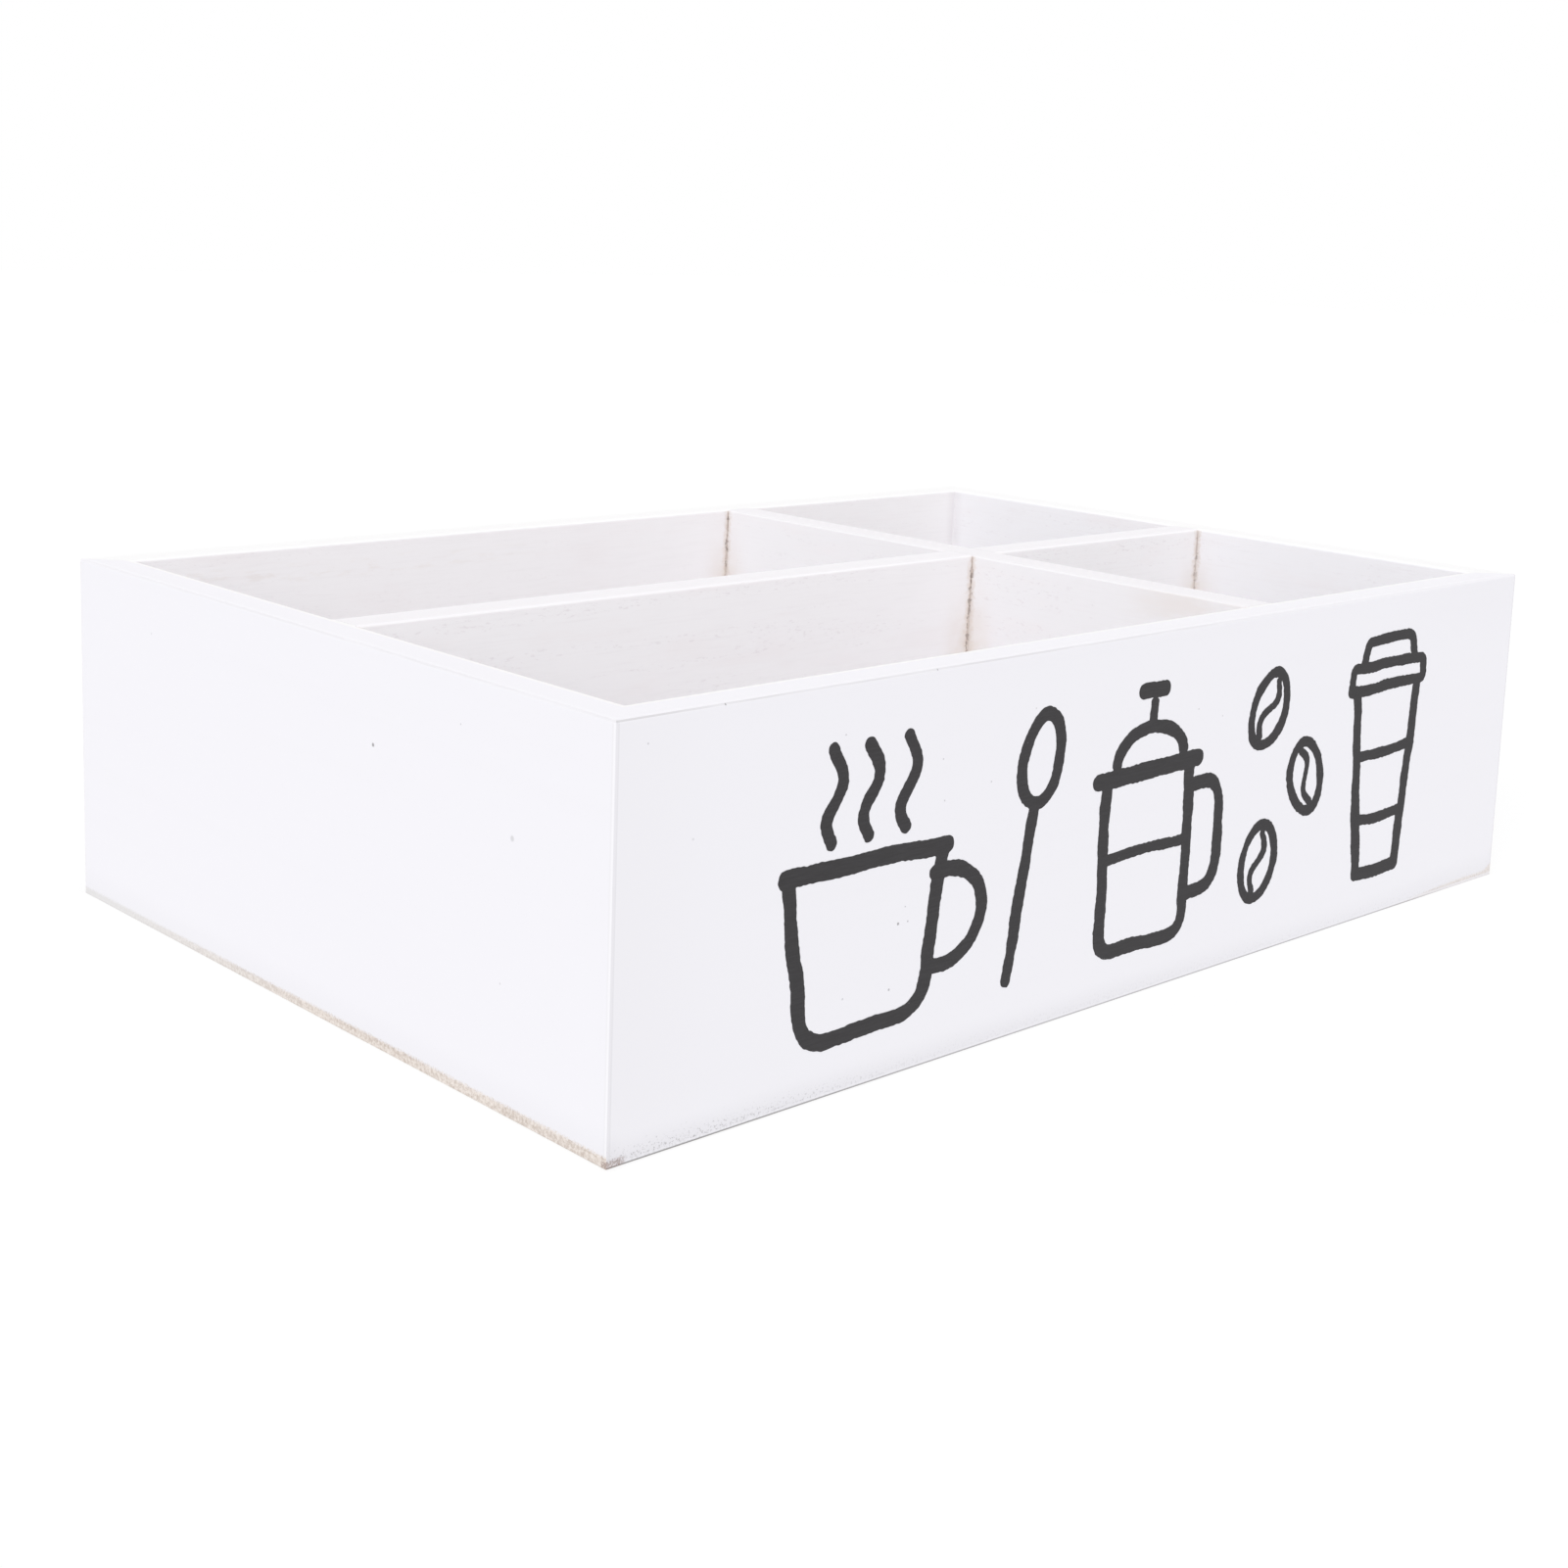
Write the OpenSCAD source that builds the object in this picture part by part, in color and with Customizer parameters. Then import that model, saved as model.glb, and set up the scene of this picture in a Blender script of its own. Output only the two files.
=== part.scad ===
// Counter tray with four bays, for cups, pods, sachets and stirrers.
// Four mitred boards stand round a plywood base that sits in their grooves. Two dividers are
// halved over each other and stand on the base. Brads hold the corners, the dividers and the base.
// The origin is the middle of the tray on the surface it stands on. +X runs to the right along
// the front, the front looks along -Y and +Z is up. Sizes are millimetres.

/* [Tray] */
// Overall length along the front
tray_length = 330; // [280:1:420]
// Overall width from front to back
tray_width = 224; // [185:1:290]
// Overall height
tray_height = 90; // [70:1:140]

/* [Boards] */
// Thickness of the four wall boards
wall_t = 10; // [8:0.5:14]
// Thickness of the two dividers
divider_t = 10; // [8:0.5:14]
// Radius of the sanded edges of the rims and the corners
edge_r = 0.9; // [0.5:0.1:1.5]
// Radius of the lower outer edges, which are only just broken
foot_r = 0.5; // [0.3:0.1:1.5]

/* [Bays] */
// Depth of the front bays, from the front board to the long divider
front_bay_depth = 97; // [60:1:120]
// Length of the right bays, from the cross divider to the right board
right_bay_length = 96; // [60:1:140]

/* [Base] */
// Thickness of the plywood base
base_t = 3; // [2.5:0.5:5]
// Height of the base's underside above the surface the tray stands on
base_rise = 4; // [3:0.5:10]
// Depth of the grooves that hold the base
groove_depth = 5; // [3:0.5:6]
// Play of the base in its grooves, at each edge and over its top
base_play = 0.2; // [0.1:0.05:0.5]

/* [Dividers] */
// Play on each side of a divider in the slot of the other
lap_play = 0.1; // [0.05:0.05:0.3]
// Joint line left at each end of a divider
end_gap = 0.15; // [0.05:0.05:0.3]

/* [Brads] */
// Shank diameter of every brad
brad_d = 1.2; // [1:0.1:1.6]
// Head diameter of every brad
brad_head_d = 2; // [1.8:0.1:2.6]
// Head thickness of every brad
brad_head_t = 0.8; // [0.5:0.1:1.2]
// Length of the tapered tip of every brad
brad_tip = 1.6; // [1:0.1:3]
// Play round a brad in its hole
brad_play = 0.03; // [0.01:0.01:0.1]
// Length of the brads in the corners and the divider ends
wall_brad_length = 25; // [20:1:30]
// Length of the brads that go up through the base
base_brad_length = 16; // [12:1:20]
// How far the heads are punched below the painted faces, and so the depth of the filler
set_depth = 1.2; // [0.8:0.1:2]
// Height of the lowest brad above the board's foot, and of the highest below its top
brad_margin = 18; // [14:1:25]
// Brads in each corner
brads_per_corner = 3; // [2:1:4]
// Brads in each end of a divider
brads_per_end = 2; // [2:1:3]
// Greatest spacing of the brads along the base
base_brad_pitch = 75; // [50:5:120]

/* [Hidden] */

$fn = 32;
half_l = tray_length / 2;
half_w = tray_width / 2;
base_top = base_rise + base_t;
through = 1; // how far a cutting shape runs past the face it opens
arc_in = 0.95; // centre of a sanded arc from each face, in radii, so that it meets them at an angle

// The inner faces of the walls and the faces of the dividers
left_in = -half_l + wall_t;
right_in = half_l - wall_t;
front_in = -half_w + wall_t;
back_in = half_w - wall_t;
cross_right = right_in - right_bay_length;
cross_left = cross_right - divider_t;
long_front = front_in + front_bay_depth;
long_back = long_front + divider_t;
cross_mid = cross_left + divider_t / 2;
long_mid = long_front + divider_t / 2;

// The bays as [left, right, front, back]
bays = [
    [left_in, cross_left, front_in, long_front],
    [left_in, cross_left, long_back, back_in],
    [cross_right, right_in, front_in, long_front],
    [cross_right, right_in, long_back, back_in]
];

// The dividers are halved at the middle of their height
lap_z = (base_top + tray_height) / 2;

brad_bore_d = brad_d + 2 * brad_play;
head_bore_d = brad_head_d + 2 * brad_play;
tip_d = brad_d / 4;

// n heights from the lowest brad to the highest
function brad_heights(n) = [
    for (i = [0:n - 1]) brad_margin + i * (tray_height - 2 * brad_margin) / (n - 1)
];

// Places along a stretch, in the middle of equal shares no longer than the pitch
function spaced(from, to) = let (n = ceil((to - from) / base_brad_pitch)) [
    for (i = [0:n - 1]) from + (i + 0.5) * (to - from) / n
];

// A rectangle about the origin with its corners rounded: r_high at the top, r_low at the foot
module rounded_face(size, r_high, r_low) {
    difference() {
        translate([-size[0] / 2, 0]) square(size);
        for (side = [-1, 1]) {
            translate([side * size[0] / 2, size[1]]) mirror([side > 0 ? 1 : 0, 0]) corner_waste(r_high);
            translate([side * size[0] / 2, 0]) {
                mirror([side > 0 ? 1 : 0, 0]) mirror([0, 1]) corner_waste(r_low);
            }
        }
    }
}

// What is sanded off a square corner that reaches up and left to the origin
module corner_waste(r) {
    difference() {
        translate([-through, -r]) square([r + through, r + through]);
        translate([arc_in * r, -arc_in * r]) circle(r);
    }
}

// The outside of the whole tray with its edges rounded
module outer_form() {
    intersection() {
        linear_extrude(tray_height) translate([0, -half_w]) {
            rounded_face([tray_length, tray_width], edge_r, edge_r);
        }
        along_y(tray_width) rounded_face([tray_length, tray_height], edge_r, foot_r);
        along_x(tray_length) rounded_face([tray_width, tray_height], edge_r, foot_r);
    }
}

// A flat shape drawn in X and Z, drawn out along Y about the middle
module along_y(length) {
    rotate([90, 0, 0]) linear_extrude(length, center = true) children();
}

// A flat shape drawn in Y and Z, drawn out along X about the middle
module along_x(length) {
    rotate([90, 0, 90]) linear_extrude(length, center = true) children();
}

// What is sanded off the rim round one bay
module rim_waste(bay) {
    size = [bay[1] - bay[0], bay[3] - bay[2]];
    translate([(bay[0] + bay[1]) / 2, (bay[2] + bay[3]) / 2, 0]) intersection() {
        along_y(size[1] + 2 * edge_r) rim_opening(size[0]);
        along_x(size[0] + 2 * edge_r) rim_opening(size[1]);
    }
}

// The mouth of a bay that flares over the rounded rim
module rim_opening(width) {
    reach = width / 2 + edge_r;
    arc_at = [width / 2 + arc_in * edge_r, tray_height - arc_in * edge_r];
    difference() {
        translate([-reach, tray_height - edge_r]) square([2 * reach, edge_r + through]);
        for (side = [-1, 1]) translate([side * arc_at[0], arc_at[1]]) circle(edge_r);
    }
}

// A slab at the height of the base that reaches into the walls all round
module base_slab(reach, thickness) {
    translate([left_in - reach, front_in - reach, base_rise]) {
        cube([right_in - left_in + 2 * reach, back_in - front_in + 2 * reach, thickness]);
    }
}

// A brad along +X, with the face it is driven through at the origin
module brad(length, depth) {
    translate([depth, 0, 0]) rotate([0, 90, 0]) {
        cylinder(h = brad_head_t, d = brad_head_d);
        cylinder(h = length - brad_tip, d = brad_d);
        translate([0, 0, length - brad_tip]) cylinder(h = brad_tip, d1 = brad_d, d2 = tip_d);
    }
}

// The hole of such a brad, open at the face
module brad_hole(length, depth) {
    rotate([0, 90, 0]) {
        translate([0, 0, -through]) cylinder(h = through + depth + brad_head_t, d = head_bore_d);
        cylinder(h = depth + length + brad_play, d = brad_bore_d);
    }
}

// The filler that closes the hole over a set head
module filler_plug() {
    rotate([0, 90, 0]) cylinder(h = set_depth, d = head_bore_d);
}

// Places its children at each brad of the mitred corners, on the outer faces of the end boards
module at_corners() {
    for (end = [-1, 1], side = [-1, 1], z = brad_heights(brads_per_corner)) {
        translate([end * half_l, side * (half_w - wall_t / 2), z]) rotate(end > 0 ? 180 : 0) children();
    }
}

// Places its children at each brad of the divider ends, on the outer faces of the walls
module at_divider_ends() {
    for (end = [-1, 1], z = brad_heights(brads_per_end)) {
        translate([end * half_l, long_mid, z]) rotate(end > 0 ? 180 : 0) children();
        translate([cross_mid, end * half_w, z]) rotate(end > 0 ? -90 : 90) children();
    }
}

// Places its children under the base, along both dividers and clear of their crossing
module at_base() {
    for (x = concat(spaced(left_in, cross_left), spaced(cross_right, right_in))) {
        translate([x, long_mid, base_rise]) rotate([0, -90, 0]) children();
    }
    for (y = concat(spaced(front_in, long_front), spaced(long_back, back_in))) {
        translate([cross_mid, y, base_rise]) rotate([0, -90, 0]) children();
    }
}

// A wall board: its share of the tray, mitred at both ends, with its groove, rim and holes
module wall_board(outline) {
    difference() {
        intersection() {
            outer_form();
            linear_extrude(tray_height) polygon(outline);
        }
        base_slab(groove_depth, base_t + base_play);
        for (bay = bays) rim_waste(bay);
        at_corners() brad_hole(wall_brad_length, set_depth);
        at_divider_ends() brad_hole(wall_brad_length, set_depth);
    }
}

// The outline of a board that runs along X, from the outer corners in to the mitred ones
function mitred_x(outer_y, inner_y) = [
    [-half_l, outer_y], [half_l, outer_y], [right_in, inner_y], [left_in, inner_y]
];

// The same for a board that runs along Y
function mitred_y(outer_x, inner_x) = [
    [outer_x, -half_w], [outer_x, half_w], [inner_x, back_in], [inner_x, front_in]
];

module front_board() {
    color("white") wall_board(mitred_x(-half_w, front_in));
}

module back_board() {
    color("white") wall_board(mitred_x(half_w, back_in));
}

module left_board() {
    color("white") wall_board(mitred_y(-half_l, left_in));
}

module right_board() {
    color("white") wall_board(mitred_y(half_l, right_in));
}

module base_panel() {
    color("burlywood") difference() {
        base_slab(groove_depth - base_play, base_t);
        at_base() brad_hole(base_brad_length, 0);
    }
}

module long_divider() {
    color("white") difference() {
        translate([left_in + end_gap, long_front, base_top]) {
            cube([right_in - left_in - 2 * end_gap, divider_t, tray_height - base_top]);
        }
        translate([cross_left - lap_play, long_front - through, lap_z]) {
            cube([divider_t + 2 * lap_play, divider_t + 2 * through, tray_height]);
        }
        divider_waste();
    }
}

module cross_divider() {
    color("white") difference() {
        translate([cross_left, front_in + end_gap, base_top]) {
            cube([divider_t, back_in - front_in - 2 * end_gap, tray_height - base_top]);
        }
        translate([cross_left - through, long_front - lap_play, base_top - through]) {
            cube([divider_t + 2 * through, divider_t + 2 * lap_play, lap_z - base_top + through]);
        }
        divider_waste();
    }
}

// What is sanded and drilled off both dividers
module divider_waste() {
    for (bay = bays) rim_waste(bay);
    at_divider_ends() brad_hole(wall_brad_length, set_depth);
    at_base() brad_hole(base_brad_length, 0);
}

module corner_brads() {
    color("silver") at_corners() brad(wall_brad_length, set_depth);
}

module divider_brads() {
    color("silver") at_divider_ends() brad(wall_brad_length, set_depth);
}

module base_brads() {
    color("silver") at_base() brad(base_brad_length, 0);
}

module brad_filler() {
    color("whitesmoke") {
        at_corners() filler_plug();
        at_divider_ends() filler_plug();
    }
}

front_board();
back_board();
left_board();
right_board();
base_panel();
long_divider();
cross_divider();
corner_brads();
divider_brads();
base_brads();
brad_filler();
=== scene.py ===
import math

import bpy
import numpy as np
from mathutils import Matrix, Vector


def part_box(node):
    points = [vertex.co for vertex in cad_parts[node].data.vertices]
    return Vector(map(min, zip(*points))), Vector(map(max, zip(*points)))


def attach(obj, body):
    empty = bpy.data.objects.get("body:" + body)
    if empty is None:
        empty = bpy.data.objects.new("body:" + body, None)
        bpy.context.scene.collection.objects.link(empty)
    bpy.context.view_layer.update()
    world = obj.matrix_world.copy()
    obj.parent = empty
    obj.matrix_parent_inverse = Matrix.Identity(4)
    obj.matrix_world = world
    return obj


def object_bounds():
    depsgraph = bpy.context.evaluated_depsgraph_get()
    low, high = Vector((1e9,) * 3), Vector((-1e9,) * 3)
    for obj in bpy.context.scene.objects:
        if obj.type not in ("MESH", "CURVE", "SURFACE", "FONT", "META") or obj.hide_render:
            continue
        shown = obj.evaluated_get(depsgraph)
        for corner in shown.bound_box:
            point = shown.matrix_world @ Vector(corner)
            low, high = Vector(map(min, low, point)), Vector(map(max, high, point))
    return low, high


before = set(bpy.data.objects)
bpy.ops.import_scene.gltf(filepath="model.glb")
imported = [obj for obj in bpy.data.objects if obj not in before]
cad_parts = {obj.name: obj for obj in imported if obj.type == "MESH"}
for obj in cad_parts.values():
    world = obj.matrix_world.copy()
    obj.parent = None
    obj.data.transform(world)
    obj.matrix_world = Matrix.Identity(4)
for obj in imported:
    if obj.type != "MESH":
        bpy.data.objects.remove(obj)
cad_low, cad_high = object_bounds()

# One millimetre in the row frame's metres.
MM = 0.001


# Sizes of the tray, in millimetres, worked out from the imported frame.

def span(node, axis):
    """Lowest and highest coordinate of a CAD node along one axis, in millimetres."""
    low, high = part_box(node)
    return low[axis] / MM, high[axis] / MM


X, Y, Z = range(3)
TOP = cad_high.z / MM
OUTER_X = cad_high.x / MM
OUTER_Y = cad_high.y / MM
FRONT_FACE = cad_low.y / MM
WALL = span("front_board", Y)[1] - FRONT_FACE
INNER_X = OUTER_X - WALL
INNER_Y = OUTER_Y - WALL
CROSS_X = sum(span("cross_divider", X)) / 2
LONG_Y = sum(span("long_divider", Y)) / 2
DIVIDER_HALF = (span("cross_divider", X)[1] - span("cross_divider", X)[0]) / 2
BASE_UNDER, BASE_TOP = span("base_panel", Z)
BASE_MIDDLE = (BASE_UNDER + BASE_TOP) / 2


# Camera of the photograph.

PHOTO_SIDE = 1601
LENS_AXIS_PIXEL = (855.97, 587.83)
FOCAL_PIXELS = 2298.5
CAMERA_PLACE = Vector((-424.18, -438.21, 187.12)) * MM
CAMERA_AZIMUTH = math.radians(44.10)
CAMERA_DIP = math.radians(9.276)
CAMERA_ROLL = math.radians(2.206)
SENSOR = 36.0
# Nearest and farthest things that the camera sees, in metres.
CLIP_START = 0.01
CLIP_END = 50


def direction(azimuth, dip):
    """Unit vector that turns from +Y towards +X by the azimuth and then points down by the dip."""
    flat = math.cos(dip)
    return Vector((math.sin(azimuth) * flat, math.cos(azimuth) * flat, -math.sin(dip)))


def camera_turn():
    """Rotation whose columns are the camera's right, up and backward directions."""
    ahead = direction(CAMERA_AZIMUTH, CAMERA_DIP)
    level = ahead.cross(Vector((0, 0, 1))).normalized()
    upright = level.cross(ahead)
    right = level * math.cos(CAMERA_ROLL) + upright * math.sin(CAMERA_ROLL)
    up = upright * math.cos(CAMERA_ROLL) - level * math.sin(CAMERA_ROLL)
    return Matrix((right, up, -ahead)).transposed()


def make_camera():
    data = bpy.data.cameras.new("camera")
    data.sensor_width = SENSOR
    data.lens = SENSOR * FOCAL_PIXELS / PHOTO_SIDE
    data.shift_x = 0.5 - LENS_AXIS_PIXEL[0] / PHOTO_SIDE
    data.shift_y = LENS_AXIS_PIXEL[1] / PHOTO_SIDE - 0.5
    data.clip_start = CLIP_START
    data.clip_end = CLIP_END
    camera = bpy.data.objects.new("camera", data)
    camera.matrix_world = Matrix.Translation(CAMERA_PLACE) @ camera_turn().to_4x4()
    bpy.context.scene.collection.objects.link(camera)
    bpy.context.scene.camera = camera


# Shader building.

class Shader:
    """A material under construction, with a method for each kind of node that it uses."""

    def __init__(self, name):
        self.material = bpy.data.materials.new(name)
        self.material.use_nodes = True
        self.tree = self.material.node_tree
        self.surface = self.tree.nodes["Principled BSDF"]

    def feed(self, socket, value):
        """Links an output to the socket, or sets a plain number, vector or colour on it."""
        if isinstance(value, bpy.types.NodeSocket):
            self.tree.links.new(value, socket)
        else:
            socket.default_value = value

    def node(self, kind, **settings):
        made = self.tree.nodes.new("ShaderNode" + kind)
        for key, value in settings.items():
            setattr(made, key, value)
        return made

    def maths(self, operation, *values):
        made = self.node("Math", operation=operation)
        for socket, value in zip(made.inputs, values):
            self.feed(socket, value)
        return made.outputs[0]

    def fold(self, operation, values):
        """Result of one operation chained over all the values."""
        result = values[0]
        for value in values[1:]:
            result = self.maths(operation, result, value)
        return result

    def product(self, *values):
        return self.fold("MULTIPLY", values)

    def total(self, *values):
        return self.fold("ADD", values)

    def least(self, *values):
        return self.fold("MINIMUM", values)

    def most(self, *values):
        return self.fold("MAXIMUM", values)

    def less(self, value, taken):
        return self.maths("SUBTRACT", value, taken)

    def size(self, value):
        """The value without its sign."""
        return self.maths("ABSOLUTE", value)

    def ramp(self, value, start, end, low=0.0, high=1.0):
        """Smooth step of value: low at start and high at end."""
        made = self.node("MapRange", interpolation_type="SMOOTHSTEP")
        for name, number in (("From Min", start), ("From Max", end), ("To Min", low), ("To Max", high)):
            self.feed(made.inputs[name], number)
        self.feed(made.inputs["Value"], value)
        return made.outputs["Result"]

    def mix(self, share, first, second):
        """Colour between first and second."""
        made = self.node("Mix", data_type="RGBA")
        self.feed(made.inputs["Factor"], share)
        self.feed(made.inputs[6], first)
        self.feed(made.inputs[7], second)
        return made.outputs[2]

    def place(self):
        """Coordinates of the row frame in millimetres, which stay with the piece."""
        made = self.node("VectorMath", operation="SCALE")
        self.feed(made.inputs[0], self.node("TexCoord").outputs["Object"])
        made.inputs["Scale"].default_value = 1 / MM
        return made.outputs[0]

    def split(self, vector):
        made = self.node("SeparateXYZ")
        self.feed(made.inputs[0], vector)
        return made.outputs[:3]

    def stretch(self, point, scale):
        """Coordinates in which a pattern is drawn out along the axes whose scale is small."""
        made = self.node("Mapping")
        self.feed(made.inputs["Vector"], point)
        made.inputs["Scale"].default_value = scale
        return made.outputs[0]

    def noise(self, point, size, detail=3.0, rough=0.5, distort=0.0):
        """Noise between 0 and 1 whose lumps are about size millimetres."""
        made = self.node("TexNoise")
        self.feed(made.inputs["Vector"], point)
        made.inputs["Scale"].default_value = 1 / size
        made.inputs["Detail"].default_value = detail
        made.inputs["Roughness"].default_value = rough
        made.inputs["Distortion"].default_value = distort
        return made.outputs["Fac"]

    def dots(self, point, pitch, radius, share):
        """Round specks, one in each pitch-sized cell that the share of cells picks."""
        made = self.node("TexVoronoi")
        self.feed(made.inputs["Vector"], point)
        made.inputs["Scale"].default_value = 1 / pitch
        chosen = self.maths("LESS_THAN", self.split(made.outputs["Color"])[0], share)
        return self.product(chosen, self.ramp(made.outputs["Distance"], radius / pitch, 0.6 * radius / pitch))

    def bump(self, height, depth):
        """Normal of a surface whose relief is height times depth millimetres."""
        made = self.node("Bump")
        made.inputs["Strength"].default_value = 1.0
        made.inputs["Distance"].default_value = depth * MM
        self.feed(made.inputs["Height"], height)
        return made.outputs["Normal"]

    def finish(self, **sockets):
        for name, value in sockets.items():
            self.feed(self.surface.inputs[name.replace("_", " ")], value)
        return self.material


# Colours, as linear red, green and blue.

OUTER_PAINT = (0.893, 0.884, 0.927, 1)
# A darker copy of the outer paint: thin paint in faint bands and under the base, and painted shade at the
# ends of the front and back.
OUTER_PAINT_DARKER = (0.877, 0.866, 0.905, 1)
# Rim paints, lighter than the faces as painted light from above, the far rims white as painted glare, and
# painted shade on the cross divider's rounded edges.
RIM_LIT_PAINT = (0.944, 0.932, 0.975, 1)
LONG_RIM_LIT_PAINT = (0.944, 0.922, 0.952, 1)
CROSS_RIM_LIT_PAINT = (0.930, 0.908, 0.938, 1)
CROSS_ARRIS_PAINTED_SHADE = (0.885, 0.865, 0.892, 1)
FAR_RIM_GLARE = (0.995, 0.990, 0.993, 1)
# Painted highlights beside the inner and outer edges of the near rims.
RIM_INNER_HIGHLIGHT = (0.985, 0.974, 0.984, 1)
RIM_OUTER_HIGHLIGHT = (0.957, 0.945, 0.988, 1)
# Painted shade on the rounded edges and upright corners, toning down the light that they catch.
ARRIS_PAINTED_SHADE = (0.864, 0.854, 0.889, 1)
ARRIS_LINE_PAINTED_SHADE = (0.866, 0.857, 0.890, 1)
ARRIS_SHADE = (0.815, 0.805, 0.843, 1)
ARRIS_CORE_PAINTED_SHADE = (0.755, 0.745, 0.780, 1)
# An uneven dark line along the top edges, strongest near the front left corner.
ARRIS_DARK_LINE = (0.560, 0.545, 0.560, 1)
# Paints of the bays and their floor: lighter and darker copies of one thin paint, as painted light and shade
# that even out the bays. The last is thin paint along the grain, and painted shade too.
BAY_PAINT_BACK = (0.968, 0.951, 0.967, 1)
BAY_PAINT_LONG = (0.962, 0.948, 0.965, 1)
BAY_PAINT_DEEP = (0.902, 0.892, 0.913, 1)
BAY_PAINT_RIGHT = (0.938, 0.932, 0.960, 1)
BAY_PAINT_DARKER = (0.860, 0.835, 0.855, 1)
BAY_DASH = (0.620, 0.560, 0.600, 1)
CORNER_SHADE = (0.780, 0.750, 0.770, 1)
PINK_STAIN = (0.915, 0.855, 0.865, 1)
TAN_STAIN = (0.820, 0.755, 0.715, 1)
SEAM_TAN = (0.780, 0.700, 0.645, 1)
SEAM_CORE = (0.580, 0.485, 0.430, 1)
SEAM_GAP = (0.260, 0.205, 0.185, 1)
SPECK = (0.250, 0.240, 0.250, 1)
RAW_LIGHT = (0.860, 0.790, 0.735, 1)
RAW_DARK = (0.560, 0.475, 0.415, 1)
RAW_GREY = (0.770, 0.765, 0.775, 1)
KNOCK_DARK = (0.330, 0.240, 0.215, 1)
# Grey of the grime and of the painted shade line at the foot, then the painted shade above the foot.
FOOT_GRIME_AND_SHADE = (0.330, 0.320, 0.325, 1)
FOOT_SHADE = (0.600, 0.590, 0.620, 1)
VENEER_DARK = (0.720, 0.560, 0.390, 1)
VENEER_LIGHT = (0.820, 0.690, 0.520, 1)
VENEER_PORE = (0.550, 0.400, 0.260, 1)
STEEL_DARK = (0.460, 0.460, 0.470, 1)
STEEL_LIGHT = (0.660, 0.660, 0.670, 1)
INK_DARK = (0.030, 0.028, 0.030, 1)
INK_LIGHT = (0.046, 0.044, 0.047, 1)
INK_DUST = (0.300, 0.290, 0.300, 1)

# Specular level of all paint.
PAINT_SPECULAR = 0.35

# How far the noise of the grain, and of the stains and dashes along it, is drawn out.
GRAIN = 0.05
STREAK = 0.3

# Reach of the stains and shades from the line that they follow, in millimetres.
SEAM_STAIN_REACH = 12.0
BASE_STAIN_REACH = 7.0
CORNER_SHADE_REACH = 5.0
FOOT_SHADE_REACH = 7.5


# Places on the tray.

def between_walls(paint, x, y):
    """1 in the outline of the walls' inner faces, 0 in the walls."""
    across = paint.ramp(paint.size(x), INNER_X + 0.5, INNER_X + 0.1)
    along = paint.ramp(paint.size(y), INNER_Y + 0.5, INNER_Y + 0.1)
    return paint.product(across, along)


def bay_mask(paint, x, y, z):
    """1 on the surfaces inside the bays, 0 on the outside and on the rims."""
    under_rim = paint.ramp(z, TOP - 0.15, TOP - 0.5)
    return paint.product(between_walls(paint, x, y), under_rim)


def under_mask(paint, x, y, z):
    """1 on the bottom edges of the boards and on what lies under the base, 0 elsewhere."""
    bottom = paint.ramp(z, 0.10, 0.04)
    below_base = paint.ramp(z, BASE_UNDER + 0.2, BASE_UNDER - 0.2)
    return paint.most(bottom, paint.product(between_walls(paint, x, y), below_base))


def off_faces(paint, value, middle, half):
    """Distance from the nearer of two faces that lie half a width either side of middle."""
    offset = paint.size(paint.less(value, middle))
    return paint.size(paint.less(offset, half))


def corner_distance(paint, first, second):
    """Distance from the line where two faces meet, given the distances from the faces."""
    return paint.maths("SQRT", paint.total(paint.product(first, first), paint.product(second, second)))


def seam_distance(paint, x, y, z):
    """Distance from the nearest upright seam of a divider with a wall or with the other divider."""
    # The seams lean a little, as the glued joints do.
    leaning = paint.total(x, paint.product(paint.less(TOP, z), 0.03))
    cross = off_faces(paint, leaning, CROSS_X, DIVIDER_HALF)
    long = off_faces(paint, y, LONG_Y, DIVIDER_HALF)
    end = off_faces(paint, leaning, 0.0, INNER_X)
    side = off_faces(paint, y, 0.0, INNER_Y)
    at_walls = paint.least(corner_distance(paint, end, long), corner_distance(paint, cross, side))
    return paint.least(corner_distance(paint, cross, long), at_walls)


# Wear of the boards' feet, as the height of bare wood in millimetres.

def no_wear(paint, x, y):
    """The dividers stand on the base, so they have no worn foot."""
    return -5.0


def wear_at_front(paint, x, y):
    """A trace of wear on the foot of the front and back boards, and more at the ends."""
    to_end = paint.less(OUTER_X, paint.size(x))
    corner = paint.ramp(to_end, 5.0, 0.0, 0.0, 1.8)
    right_end = paint.ramp(x, OUTER_X - 70, OUTER_X - 15, 0.0, 2.1)
    return paint.total(corner, right_end, -0.35)


def wear_at_ends(paint, x, y):
    """Wear on the foot of the end boards, most at the front."""
    return paint.ramp(y, OUTER_Y, -OUTER_Y, 1.9, 2.5)


# Marks that only one board has inside the bays.

def no_marks(paint, place, point, colour):
    return colour


def row_of_knots(paint, place, point, colour):
    """Small tan knots in a row under the back rim, left of the middle."""
    x, z = place[X], place[Z]
    knots = paint.noise(paint.stretch(point, (0.22, 1.0, 1.0)), 1.6, detail=3, rough=0.6)
    off_row = paint.size(paint.less(z, TOP - 7))
    knotty = paint.product(paint.ramp(off_row, 3.5, 1.0), paint.ramp(x, 0.0, -OUTER_X * 0.5))
    return paint.mix(paint.product(knotty, paint.ramp(knots, 0.50, 0.66), 0.28), colour, TAN_STAIN)


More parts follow.
